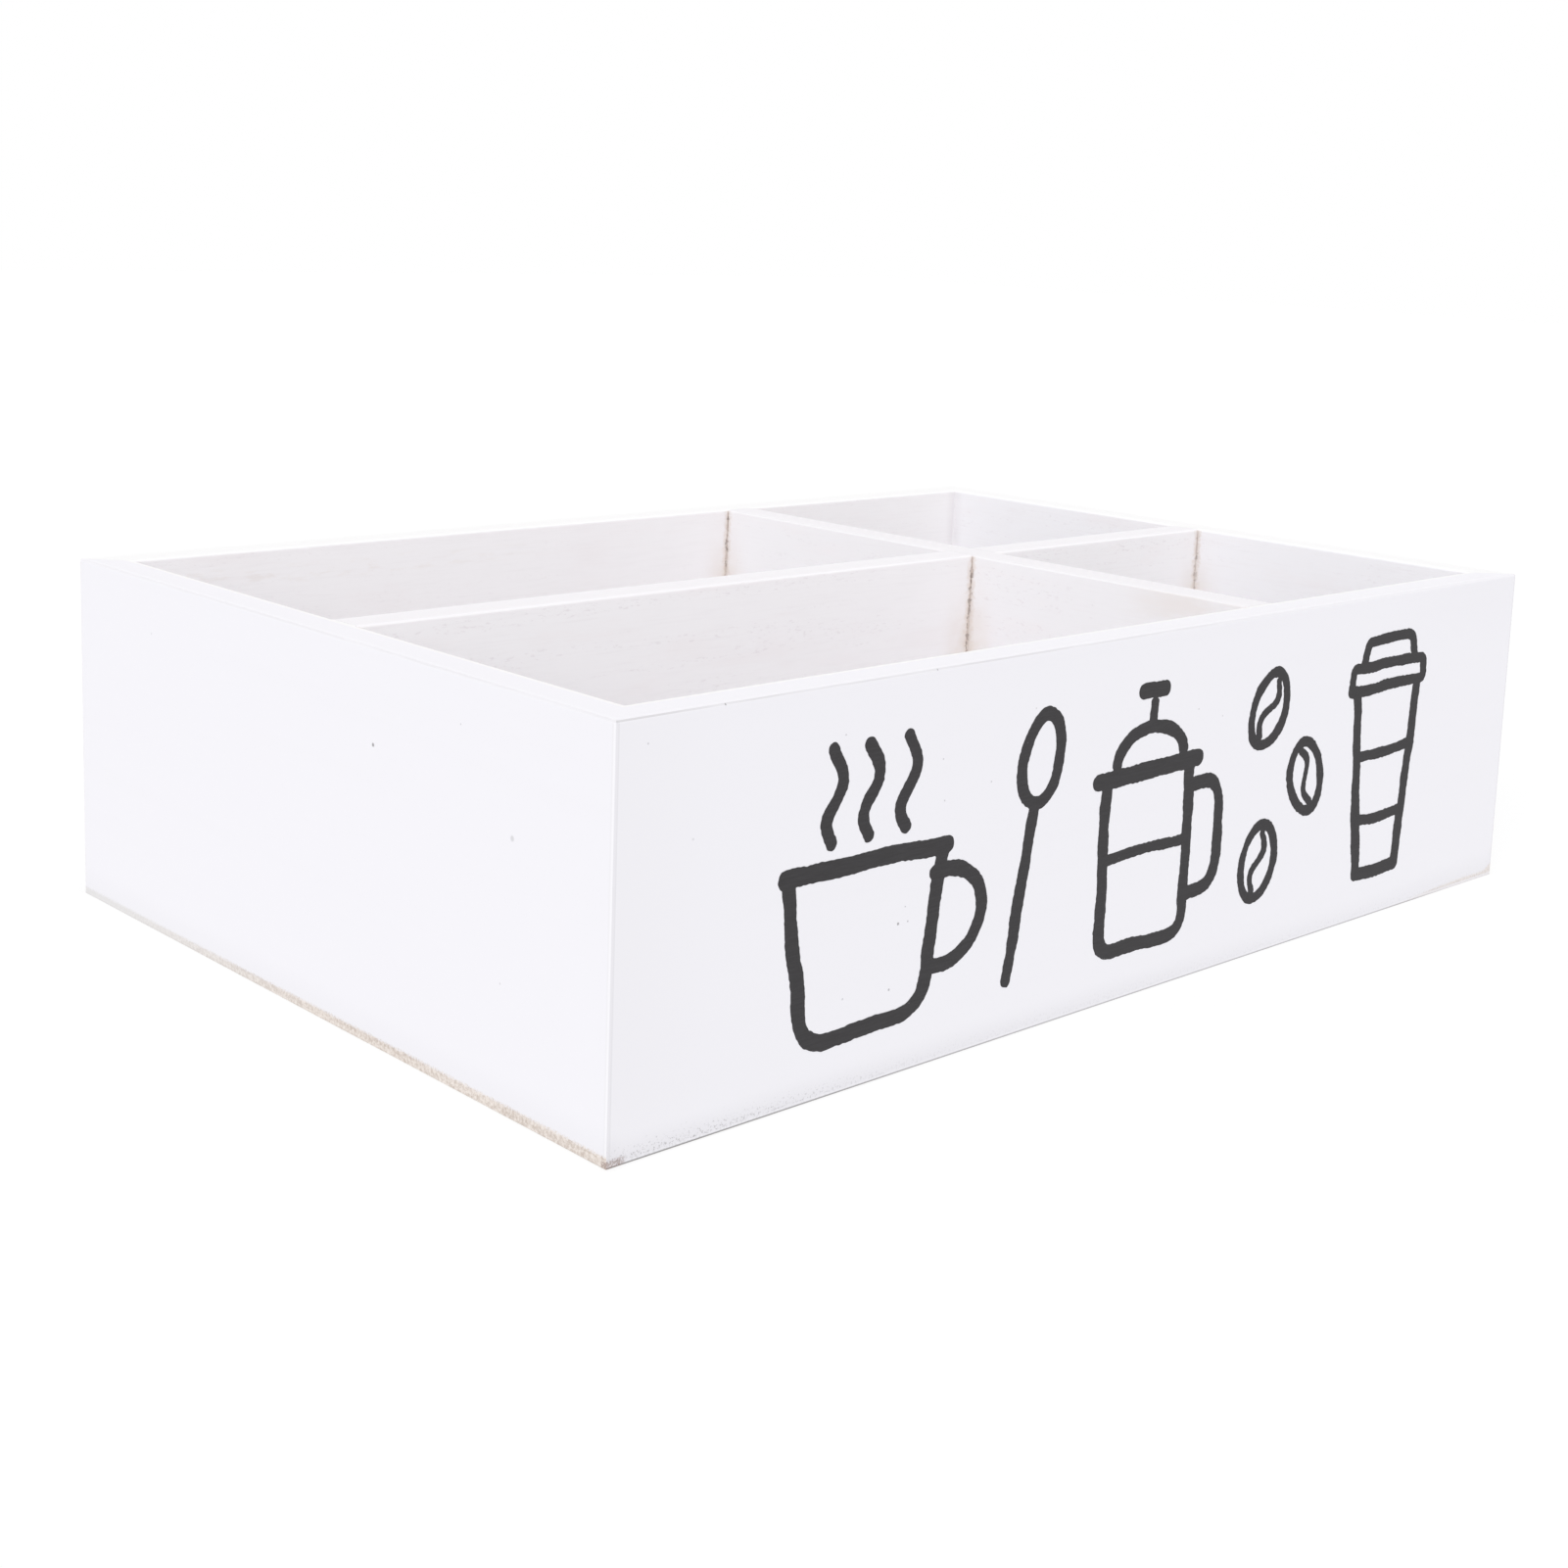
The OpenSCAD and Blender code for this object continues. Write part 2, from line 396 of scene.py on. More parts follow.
def tan_patch(paint, place, point, colour):
    """Tan patch under the rim, in the front half of the cross divider."""
    y, z = place[Y], place[Z]
    patches = paint.noise(paint.stretch(point, (1.0, STREAK, 1.0)), 12.0, detail=4, rough=0.6)
    in_front = paint.ramp(y, -INNER_Y * 0.5, -INNER_Y * 0.8)
    under_rim = paint.ramp(z, TOP - 24, TOP - 6)
    share = paint.product(in_front, under_rim, paint.ramp(patches, 0.35, 0.60, 0.0, 0.45))
    return paint.mix(share, colour, TAN_STAIN)


class Board:
    """What the paint needs to know of a board: its grain, its long faces, its wear, marks, and the tints of
    its rim, edges and bay that are painted light and shade.
    """

    def __init__(self, along, middle, halves, wear, rim=RIM_LIT_PAINT, arris=ARRIS_PAINTED_SHADE, bay=BAY_PAINT_DEEP,
                 marks=no_marks, has_edge_lines=False, specks=()):
        self.along = along
        self.across = Y if along == X else X
        self.middle = middle
        self.halves = halves
        self.is_divider = len(halves) == 1
        self.wear = wear
        self.rim = rim
        self.arris = arris
        self.bay = bay
        self.marks = marks
        # Whether the board has painted highlights beside its rim's edges and a dark line along its top edge.
        self.has_edge_lines = has_edge_lines
        self.specks = specks
        # Painted shade on the upright outer corners, which tones down the light that they catch: deeper on
        # the half on the front and back, lighter on the half on the ends.
        self.corner_side = ARRIS_SHADE if along == X else ARRIS_PAINTED_SHADE
        self.corner_line = ARRIS_CORE_PAINTED_SHADE if along == X else ARRIS_LINE_PAINTED_SHADE
        # Share of the dark line along the top edge of a board with edge lines, far from the front left corner
        # and near it.
        self.dark_line_shares = (0.0, 0.40) if along == X else (0.04, 0.19)
        # Where the board starts, and how far its knocked foot reaches from there.
        self.start = -OUTER_X if along == X else -OUTER_Y
        self.knock_reach = 5.5 if along == X else 1.8

    def face_distance(self, paint, place, half):
        """Distance from the planes of two long faces that lie half a width either side of the middle."""
        return off_faces(paint, place[self.across], self.middle, half)

    def drawn_out(self, paint, point, scale):
        """Coordinates in which a pattern is drawn out along the board."""
        scales = [1.0, 1.0, 1.0]
        scales[self.along] = scale
        return paint.stretch(point, scales)


# Specks in the paint, each as its place along the board, its height, its radius and its strength.
FRONT_SPECKS = [(-86, 34.5, 0.45, 0.8), (-83, 34.5, 0.3, 0.6), (-84, 38, 0.25, 0.5), (-88, 20, 0.4, 0.6),
                (-102, 21, 0.35, 0.35), (-74, 69.5, 0.3, 0.4), (-73, 60, 0.3, 0.4), (-104, 79, 0.3, 0.4),
                (-58, 62, 0.3, 0.4), (-44, 77, 0.3, 0.3), (17, 69, 0.3, 0.4), (27, 66, 0.35, 0.25),
                (-157, 84.5, 0.3, 0.35), (-145, 63.5, 0.4, 0.2), (-137.5, 89.7, 0.28, 0.7),
                (-77, 89.7, 0.28, 0.5)]
LEFT_SPECKS = [(-28, 68.5, 0.6, 0.85), (-79.5, 59.5, 0.85, 0.3), (-61, 79.5, 0.3, 0.35),
               (-76, 28, 0.35, 0.25), (73, 76.5, 0.4, 0.2)]
BACK_SPECKS = [(96, 52, 0.4, 0.5), (-41, 71, 0.3, 0.4), (22, 24, 0.35, 0.4), (-118, 40, 0.3, 0.3)]
RIGHT_SPECKS = [(-64, 33, 0.4, 0.5), (35, 70, 0.3, 0.4), (71, 18, 0.35, 0.35)]

FRONT = Board(X, 0.0, (OUTER_Y, INNER_Y), wear_at_front, bay=BAY_PAINT_BACK, has_edge_lines=True,
              specks=FRONT_SPECKS)
BACK = Board(X, 0.0, (OUTER_Y, INNER_Y), wear_at_front, FAR_RIM_GLARE, FAR_RIM_GLARE, BAY_PAINT_BACK,
             marks=row_of_knots, specks=BACK_SPECKS)
LEFT = Board(Y, 0.0, (OUTER_X, INNER_X), wear_at_ends, has_edge_lines=True, specks=LEFT_SPECKS)
RIGHT = Board(Y, 0.0, (OUTER_X, INNER_X), wear_at_ends, FAR_RIM_GLARE, FAR_RIM_GLARE, BAY_PAINT_RIGHT,
              specks=RIGHT_SPECKS)
LONG = Board(X, LONG_Y, (DIVIDER_HALF,), no_wear, LONG_RIM_LIT_PAINT, LONG_RIM_LIT_PAINT, BAY_PAINT_LONG)
CROSS = Board(Y, CROSS_X, (DIVIDER_HALF,), no_wear, CROSS_RIM_LIT_PAINT, CROSS_ARRIS_PAINTED_SHADE, marks=tan_patch)


# Paint of the outer faces, the rims and their edges.

def face_colour(paint, board, place, grain):
    """Paint of the outer faces, thin in faint bands, with painted shade towards the ends of the front and
    back.
    """
    x, z = place[X], place[Z]
    bands = paint.noise(grain, 7.0, detail=3, distort=0.2)
    colour = paint.mix(paint.ramp(bands, 0.45, 0.85, 0.0, 0.3), OUTER_PAINT, OUTER_PAINT_DARKER)
    if board.along == Y:
        return colour
    # Painted shade: darker towards the left end, and near the top of the right end.
    left_end = paint.ramp(x, -OUTER_X * 0.8, -OUTER_X, 0.0, 0.8)
    colour = paint.mix(left_end, colour, OUTER_PAINT_DARKER)
    right_end = paint.ramp(x, OUTER_X * 0.6, OUTER_X * 0.9)
    shaded_end = paint.product(right_end, paint.ramp(z, TOP - 25, TOP - 5), 0.15)
    return paint.mix(shaded_end, colour, ARRIS_SHADE)


def rim_colour(paint, board, place, colour):
    """Paint of the rim, lighter than the faces as painted light, with painted highlights beside the edges of
    a board with edge lines.
    """
    on_top = paint.ramp(place[Z], TOP - 0.45, TOP - 0.1)
    colour = paint.mix(on_top, colour, board.rim)
    if not board.has_edge_lines:
        return colour
    outer, inner = board.halves
    beside_bay = paint.ramp(board.face_distance(paint, place, inner), 2.0, 1.3)
    colour = paint.mix(paint.product(on_top, beside_bay), colour, RIM_INNER_HIGHLIGHT)
    beside_face = paint.ramp(board.face_distance(paint, place, outer), 2.2, 1.5)
    return paint.mix(paint.product(on_top, beside_face), colour, RIM_OUTER_HIGHLIGHT)


def edge_colour(paint, board, place, grain, colour):
    """Rounded edges in painted shade, glare on the far boards, and with edge lines an uneven dark line fading
    from the corner.
    """
    x, y, z = place
    off_face = board.face_distance(paint, place, board.halves[0])
    edge = corner_distance(paint, paint.less(TOP, z), off_face)
    upright = corner_distance(paint, paint.less(OUTER_X, paint.size(x)), paint.less(OUTER_Y, paint.size(y)))
    colour = paint.mix(paint.ramp(edge, 0.70, 0.50), colour, board.arris)
    colour = paint.mix(paint.ramp(upright, 1.05, 0.90), colour, board.corner_side)
    colour = paint.mix(paint.ramp(upright, 0.60, 0.48), colour, board.corner_line)
    if not board.has_edge_lines:
        return colour
    from_corner = paint.total(x, y, OUTER_X + OUTER_Y)
    along_edge = paint.ramp(from_corner, 330, 30, *board.dark_line_shares)
    share = paint.total(along_edge, paint.ramp(from_corner, 20, 4, 0.0, 0.06))
    worn = paint.noise(grain, 2.2, detail=5, rough=0.7)
    uneven = paint.product(paint.ramp(worn, 0.42, 0.53, 0.65, 1.3), share)
    return paint.mix(paint.product(paint.ramp(edge, 0.45, 0.385), uneven), colour, ARRIS_DARK_LINE)


def placed_specks(paint, board, place):
    """How dark the board's specks of dirt are, 0 beside them."""
    found = 0.0
    for along, height, radius, strength in board.specks:
        aside = paint.less(place[board.along], along)
        above = paint.less(place[Z], height)
        speck = paint.ramp(corner_distance(paint, aside, above), radius, radius * 0.4, 0.0, strength)
        found = paint.most(speck, found)
    return found


def outside_paint(paint, board, place, grain):
    colour = face_colour(paint, board, place, grain)
    colour = rim_colour(paint, board, place, colour)
    colour = edge_colour(paint, board, place, grain, colour)
    return paint.mix(placed_specks(paint, board, place), colour, SPECK)


# Thinner paint inside the bays.

def bay_ground(paint, board, place, point, grain, fibres):
    """Thin paint with the grain, pink patches and rows of dark dashes showing, and painted shade in the left
    bays.
    """
    x = place[X]
    streaks = board.drawn_out(paint, point, STREAK)
    rows = paint.noise(grain, 4.0, detail=2, rough=0.5)
    patches = paint.noise(streaks, 12.0, detail=4, rough=0.6)
    dashes = paint.noise(streaks, 0.6, detail=3, rough=0.6)
    colour = paint.mix(paint.ramp(fibres, 0.45, 0.85, 0.0, 0.40), board.bay, BAY_PAINT_DARKER)
    colour = paint.mix(paint.ramp(patches, 0.50, 0.72, 0.0, 0.25), colour, PINK_STAIN)
    dash_share = 0.25 if board.is_divider else 0.14
    dashed = paint.product(paint.ramp(dashes, 0.57, 0.68), paint.ramp(rows, 0.52, 0.60), dash_share)
    colour = paint.mix(dashed, colour, BAY_DASH)
    if board.along == Y:
        return colour
    # Painted shade in the left bays, deepening towards the cross divider, against the light that it throws
    # back.
    in_left_bays = paint.ramp(x, CROSS_X + DIVIDER_HALF, CROSS_X - DIVIDER_HALF, 0.1, 1.0)
    painted_shade_near_cross = paint.product(paint.ramp(x, -OUTER_X, CROSS_X, 0.0, 0.24), in_left_bays)
    return paint.mix(painted_shade_near_cross, colour, BAY_PAINT_DARKER)


def seam_stains(paint, place, point, ragged, colour):
    """Ragged dark lines in the upright seams, with a tan stain around them that is weak near the rim."""
    x, y, z = place
    seam = seam_distance(paint, x, y, z)
    blotchy = paint.ramp(paint.noise(point, 6.0, detail=2), 0.25, 0.60, 0.5, 1.0)
    low_down = paint.ramp(z, TOP - 5, TOP - 30, 0.1, 1.0)
    stain = paint.product(paint.ramp(seam, SEAM_STAIN_REACH, 0.5), low_down, blotchy, 0.85)
    colour = paint.mix(stain, colour, TAN_STAIN)
    fringe_width = paint.ramp(ragged, 0.30, 0.70, 0.4, 1.8)
    fringe = paint.ramp(paint.less(seam, fringe_width), 0.8, -0.6)
    colour = paint.mix(paint.product(fringe, 0.6), colour, SEAM_TAN)
    # The lines are fainter towards the right wall.
    fainter = paint.ramp(x, CROSS_X + DIVIDER_HALF, INNER_X, 1.0, 0.55)
    core_width = paint.ramp(ragged, 0.35, 0.65, 0.15, 0.5)
    core = paint.ramp(paint.less(seam, core_width), 0.2, -0.2)
    core_share = paint.product(core, paint.ramp(z, TOP, TOP - 2.5, 0.4, 0.68), fainter)
    colour = paint.mix(core_share, colour, SEAM_CORE)
    beads = paint.noise(point, 1.7, detail=2, rough=0.6)
    bead_width = paint.ramp(beads, 0.47, 0.62, -0.3, 0.75)
    bead = paint.ramp(paint.less(seam, bead_width), 0.2, -0.2)
    bead_share = paint.product(bead, paint.ramp(z, TOP - 1, TOP - 3), fainter, 0.56)
    return paint.mix(bead_share, colour, SEAM_GAP)


def base_joint(paint, distance, ragged, colour):
    """Stain and broken dark line of the joint between the base and the boards."""
    colour = paint.mix(paint.ramp(distance, BASE_STAIN_REACH, 0.5, 0.0, 0.35), colour, TAN_STAIN)
    line_width = paint.ramp(ragged, 0.40, 0.60, -0.2, 0.4)
    line = paint.ramp(paint.less(distance, line_width), 0.25, -0.15, 0.0, 0.65)
    return paint.mix(line, colour, SEAM_CORE)


def ragged_noise(paint, point):
    """Noise that frays the lines in the seams and along the base."""
    return paint.noise(point, 1.5, detail=4, rough=0.7)


def bay_paint(paint, board, place, point, grain, fibres):
    x, y, z = place
    ragged = ragged_noise(paint, point)
    colour = bay_ground(paint, board, place, point, grain, fibres)
    colour = board.marks(paint, place, point, colour)
    colour = seam_stains(paint, place, point, ragged, colour)
    colour = base_joint(paint, paint.less(z, BASE_TOP), ragged, colour)
    if board.is_divider:
        return colour
    in_corner = corner_distance(paint, off_faces(paint, x, 0.0, INNER_X), off_faces(paint, y, 0.0, INNER_Y))
    return paint.mix(paint.ramp(in_corner, CORNER_SHADE_REACH, 0.5, 0.0, 0.35), colour, CORNER_SHADE)


# Lower edges and underside of the boards.

def raw_wood(paint, board, place, point, grain):
    """Colour of bare sanded wood, greyer towards the back on the end boards."""
    fibres = paint.noise(grain, 1.2, detail=4, rough=0.6)
    pores = paint.noise(point, 0.8, detail=5, rough=0.8)
    tone = paint.total(paint.product(fibres, 0.25), paint.product(pores, 0.75))
    wood = paint.mix(paint.ramp(tone, 0.38, 0.60), RAW_DARK, RAW_LIGHT)
    if board.along == X:
        return wood
    return paint.mix(paint.ramp(place[Y], -OUTER_Y * 0.2, OUTER_Y, 0.0, 0.9), wood, RAW_GREY)


def foot_grime_and_light(paint, place, point, colour):
    """Grime on the foot of the front and back boards, a painted highlight as a pale strip and painted shade
    as a dark line at the very edge.
    """
    x, z = place[X], place[Z]
    # The grime is fine grains, fewer with height and to the right.
    grime = paint.noise(point, 0.7, detail=5, rough=0.8)
    scarcer = paint.less(grime, paint.product(z, 0.028))
    grime_share = paint.ramp(x, -OUTER_X * 0.4, -OUTER_X * 0.95, 0.15, 0.70)
    colour = paint.mix(paint.product(paint.ramp(scarcer, 0.48, 0.55), grime_share), colour, FOOT_GRIME_AND_SHADE)
    # Painted highlight: a pale strip just above the bottom edge.
    colour = paint.mix(paint.ramp(z, 1.05, 0.90, 0.0, 0.6), colour, OUTER_PAINT)
    # Painted shade: a dark line along the bottom edge, stronger to the left.
    stronger_left = paint.ramp(x, 0.0, -OUTER_X, 0.6, 1.0)
    before_right_end = paint.ramp(x, OUTER_X - 20, OUTER_X - 50)
    line = paint.product(paint.ramp(z, 0.60, 0.40), stronger_left, before_right_end)
    return paint.mix(line, colour, FOOT_GRIME_AND_SHADE)


def foot_paint(paint, board, place, point, grain, colour):
    """The lower edge, bare where it is worn and dark at the knocked corner, and the raw underside."""
    x, y, z = place
    over_wear = paint.less(z, board.wear(paint, x, y))
    shade = paint.ramp(x, OUTER_X, -OUTER_X, 0.12, 0.27) if board.along == X else 0.09
    shade_share = paint.product(paint.ramp(over_wear, FOOT_SHADE_REACH, 0.0), shade)
    colour = paint.mix(shade_share, colour, FOOT_SHADE)
    crumbs = paint.noise(point, 0.5, detail=5, rough=0.8)
    crumbled = paint.ramp(crumbs, 0.3, 0.7, -0.5, 0.5)
    bare = paint.ramp(paint.less(over_wear, crumbled), 0.45, -0.35)
    wood = raw_wood(paint, board, place, point, grain)
    colour = paint.mix(paint.product(bare, 0.6 if board.along == X else 0.95), colour, wood)
    if board.along == X:
        colour = foot_grime_and_light(paint, place, point, colour)
    from_start = paint.less(place[board.along], board.start)
    at_corner = paint.ramp(from_start, board.knock_reach, board.knock_reach * 0.6)
    knocked = paint.product(at_corner, paint.ramp(z, 2.3, 1.5), paint.ramp(crumbs, 0.40, 0.55), 0.8)
    colour = paint.mix(knocked, colour, KNOCK_DARK)
    overspray = paint.ramp(paint.noise(point, 14.0, detail=4, rough=0.6), 0.42, 0.68, 0.05, 0.65)
    under = under_mask(paint, x, y, z)
    colour = paint.mix(under, colour, paint.mix(overspray, wood, OUTER_PAINT_DARKER))
    return colour, paint.most(bare, under)


# Materials.

def painted_wood(name, board):
    """Thin white paint on a board, bare at its foot where it is worn."""
    paint = Shader(name)
    point = paint.place()
    place = paint.split(point)
    grain = board.drawn_out(paint, point, GRAIN)
    fibres = paint.noise(grain, 0.7, detail=5, rough=0.65)
    inside = bay_mask(paint, *place)
    outside = outside_paint(paint, board, place, grain)
    colour = paint.mix(inside, outside, bay_paint(paint, board, place, point, grain, fibres))
    colour, bare = foot_paint(paint, board, place, point, grain, colour)
    relief = paint.product(fibres, paint.ramp(inside, 0.0, 1.0, 0.15, 1.0))
    gloss = paint.total(paint.ramp(fibres, 0.3, 0.7, 0.44, 0.52), paint.product(bare, 0.3))
    paint.surface.inputs["Specular IOR Level"].default_value = PAINT_SPECULAR
    return paint.finish(Base_Color=colour, Roughness=gloss, Normal=paint.bump(relief, 0.02))


def bare_veneer(panel, grain, fibres):
    """Colour of the plywood's unpainted side."""
    figure = panel.noise(grain, 9.0, detail=3, distort=1.2)
    veneer = panel.mix(panel.ramp(figure, 0.3, 0.7), VENEER_DARK, VENEER_LIGHT)
    return panel.mix(panel.ramp(fibres, 0.5, 0.8, 0.0, 0.5), veneer, VENEER_PORE)


def base_paint(panel, place, point, fibres):
    """Thin paint on the floor of the bays, stained along the boards."""
    x, y = place[X], place[Y]
    colour = panel.mix(panel.ramp(fibres, 0.4, 0.8, 0.0, 0.6), BAY_PAINT_DEEP, BAY_PAINT_DARKER)
    streaks = panel.stretch(point, (STREAK, 1.0, 1.0))
    patches = panel.noise(streaks, 14.0, detail=4, rough=0.6)
    colour = panel.mix(panel.ramp(patches, 0.50, 0.72, 0.0, 0.35), colour, PINK_STAIN)
    dashes = panel.noise(streaks, 0.8, detail=3, rough=0.6)
    colour = panel.mix(panel.ramp(dashes, 0.60, 0.70, 0.0, 0.25), colour, BAY_DASH)
    seam = seam_distance(panel, x, y, BASE_TOP)
    colour = panel.mix(panel.ramp(seam, 4.0, 0.5, 0.0, 0.4), colour, PINK_STAIN)
    off_walls = panel.least(off_faces(panel, x, 0.0, INNER_X), off_faces(panel, y, 0.0, INNER_Y))
    off_cross = off_faces(panel, x, CROSS_X, DIVIDER_HALF)
    off_long = off_faces(panel, y, LONG_Y, DIVIDER_HALF)
    off_boards = panel.least(off_walls, off_cross, off_long)
    return base_joint(panel, off_boards, ragged_noise(panel, point), colour)


def plywood(name):
    """Thin plywood: white paint inside the bays and bare veneer below."""
    panel = Shader(name)
    point = panel.place()
    place = panel.split(point)
    grain = panel.stretch(point, (GRAIN, 1.0, 1.0))
    fibres = panel.noise(grain, 0.6, detail=6, rough=0.7)
    painted = panel.ramp(place[Z], BASE_MIDDLE - 0.2, BASE_MIDDLE + 0.2)
    colour = panel.mix(painted, bare_veneer(panel, grain, fibres), base_paint(panel, place, point, fibres))
    return panel.finish(Base_Color=colour, Roughness=panel.ramp(painted, 0.0, 1.0, 0.75, 0.5),
                        Normal=panel.bump(fibres, 0.04))


def bright_wire(name):
    """Drawn steel wire with fine scratches."""
    steel = Shader(name)
    marks = steel.noise(steel.stretch(steel.place(), (1.0, 1.0, 0.1)), 0.12, detail=4, rough=0.7)
    colour = steel.mix(marks, STEEL_DARK, STEEL_LIGHT)
    steel.surface.inputs["Metallic"].default_value = 1.0
    return steel.finish(Base_Color=colour, Roughness=steel.ramp(marks, 0.3, 0.7, 0.25, 0.45),
                        Normal=steel.bump(marks, 0.01))


def stencil_paint(name):
    """Matt charcoal paint with pale dust, a few pinholes and the grain just showing through."""
    ink = Shader(name)
    point = ink.place()
    fibres = ink.noise(ink.stretch(point, (0.08, 1.0, 1.0)), 0.5, detail=4, rough=0.6)
    colour = ink.mix(ink.ramp(fibres, 0.3, 0.75), INK_DARK, INK_LIGHT)
    dust = ink.dots(point, 1.6, 0.16, 0.12)
    colour = ink.mix(ink.product(dust, 0.35), colour, INK_DUST)
    pinholes = ink.dots(point, 16.0, 0.28, 0.08)
    colour = ink.mix(pinholes, colour, OUTER_PAINT)
    ink.surface.inputs["Specular IOR Level"].default_value = PAINT_SPECULAR
    return ink.finish(Base_Color=colour, Roughness=ink.ramp(fibres, 0.3, 0.7, 0.62, 0.75),
                      Normal=ink.bump(fibres, 0.02))


def dress(node, material):
    """Gives a CAD node's object one material."""
    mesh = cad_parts[node].data
    mesh.materials.clear()
    mesh.materials.append(material)


def dress_tray():
    dress("front_board", painted_wood("front_paint", FRONT))
    dress("back_board", painted_wood("back_paint", BACK))
    dress("left_board", painted_wood("left_paint", LEFT))
    dress("right_board", painted_wood("right_paint", RIGHT))
    dress("long_divider", painted_wood("long_divider_paint", LONG))
    dress("cross_divider", painted_wood("cross_divider_paint", CROSS))
    dress("brad_filler", painted_wood("filler_paint", LEFT))
    dress("base_panel", plywood("plywood_painted_above"))
    wire = bright_wire("bright_wire")
    for node in ("corner_brads", "divider_brads", "base_brads"):
        dress(node, wire)


# Stage and light.

SKY_LEVEL = 0.775
# The key light comes from the left of the front, high enough to reach into the bays.
KEY_AZIMUTH = math.radians(51)
KEY_HEIGHT = math.radians(31)
KEY_SPREAD = math.radians(40)
# What a white surface that faces the key light adds to its brightness.
KEY_LEVEL = 0.40
FLOOR_SIDE = 8.0
FLOOR_WHITE = 0.90
# Strength of the white that is mixed into the floor as the camera sees it, and its share.
FLOOR_GLOW = 1.08
FLOOR_LIFT = 0.65
WHITE = (1, 1, 1, 1)


def seen_directly(tree):
    """1 for camera, mirror and glass rays, which see plain white, and 0 for the rays that carry light."""
    path = tree.nodes.new("ShaderNodeLightPath")
    seen = path.outputs["Is Camera Ray"]
    for name in ("Is Glossy Ray", "Is Transmission Ray"):
        either = tree.nodes.new("ShaderNodeMath")
        either.operation = "MAXIMUM"
        tree.links.new(seen, either.inputs[0])
        tree.links.new(path.outputs[name], either.inputs[1])
        seen = either.outputs[0]
    return seen


def make_world():
    world = bpy.data.worlds.new("studio")
    bpy.context.scene.world = world
    world.use_nodes = True
    tree = world.node_tree
    lighting = tree.nodes["Background"]
    lighting.inputs["Color"].default_value = WHITE
    lighting.inputs["Strength"].default_value = SKY_LEVEL
    backdrop = tree.nodes.new("ShaderNodeBackground")
    backdrop.inputs["Color"].default_value = WHITE
    backdrop.inputs["Strength"].default_value = 1.0
    either = tree.nodes.new("ShaderNodeMixShader")
    tree.links.new(seen_directly(tree), either.inputs["Fac"])
    tree.links.new(lighting.outputs[0], either.inputs[1])
    tree.links.new(backdrop.outputs[0], either.inputs[2])
    tree.links.new(either.outputs[0], tree.nodes["World Output"].inputs["Surface"])


def floor_material():
    """Pale floor that shows white with the tray's soft shadow from above, and nothing from below."""
    material = bpy.data.materials.new("pale_floor")
    material.use_nodes = True
    tree = material.node_tree
    tree.nodes.remove(tree.nodes["Principled BSDF"])
    matt = tree.nodes.new("ShaderNodeBsdfDiffuse")
    matt.inputs["Color"].default_value = (FLOOR_WHITE, FLOOR_WHITE, FLOOR_WHITE, 1)
    white = tree.nodes.new("ShaderNodeEmission")
    white.inputs["Strength"].default_value = FLOOR_GLOW
    lift = tree.nodes.new("ShaderNodeMath")
    lift.operation = "MULTIPLY"
    lift.inputs[1].default_value = FLOOR_LIFT
    tree.links.new(seen_directly(tree), lift.inputs[0])
    lifted = tree.nodes.new("ShaderNodeMixShader")
    tree.links.new(lift.outputs[0], lifted.inputs["Fac"])
    tree.links.new(matt.outputs[0], lifted.inputs[1])
    tree.links.new(white.outputs[0], lifted.inputs[2])
    side = tree.nodes.new("ShaderNodeNewGeometry")
    clear = tree.nodes.new("ShaderNodeBsdfTransparent")
    one_way = tree.nodes.new("ShaderNodeMixShader")
    tree.links.new(side.outputs["Backfacing"], one_way.inputs["Fac"])
    tree.links.new(lifted.outputs[0], one_way.inputs[1])
    tree.links.new(clear.outputs[0], one_way.inputs[2])
    tree.links.new(one_way.outputs[0], tree.nodes["Material Output"].inputs["Surface"])
    return material


def make_floor():
    half = FLOOR_SIDE / 2
    corners = [(-half, -half, 0), (half, -half, 0), (half, half, 0), (-half, half, 0)]
    mesh = bpy.data.meshes.new("floor")
    mesh.from_pydata(corners, [], [(0, 1, 2, 3)])
    mesh.materials.append(floor_material())
    floor = bpy.data.objects.new("floor", mesh)
    bpy.context.scene.collection.objects.link(floor)
    # The tray's underside takes its light from the world, so that it shows from below.
    floor.visible_diffuse = False
    floor.visible_shadow = False


def make_key():
    """Broad soft light, the same over the whole tray."""
    data = bpy.data.lights.new("softbox", "SUN")
    data.energy = math.pi * KEY_LEVEL
    data.angle = KEY_SPREAD
    towards = direction(KEY_AZIMUTH, KEY_HEIGHT)
    lamp = bpy.data.objects.new("softbox", data)
    lamp.matrix_world = Matrix.Translation(-towards) @ towards.to_track_quat("-Z", "Y").to_matrix().to_4x4()
    bpy.context.scene.collection.objects.link(lamp)


def make_lights():
    make_world()
    make_key()
    bpy.context.scene.view_settings.view_transform = "Standard"


# The painted motif: coffee things drawn with a round brush.

# Half the width of a brush stroke.
BRUSH = 1.9
# Spacing of the points along straight strokes.
STEP = 0.4
# Points on a rounded corner, on an oval and on a ripple.
CORNER_POINTS = 12
OVAL_POINTS = 120
RIPPLE_POINTS = 80
# Spacing of the grid that the ink's outline is found on.
GRID = 0.25
# Unsteadiness of the hand, then of the brush and of its bristles: each as how far it sways and over what.
HAND_SWAY = (0.30, 12.0)
BRUSH_SWAY = (0.11, 4.0)
BRISTLE_SWAY = (0.06, 0.9)
# Thickness of the paint film, and how far its back lies in the board.
FILM = 0.06
FILM_SINK = 0.01


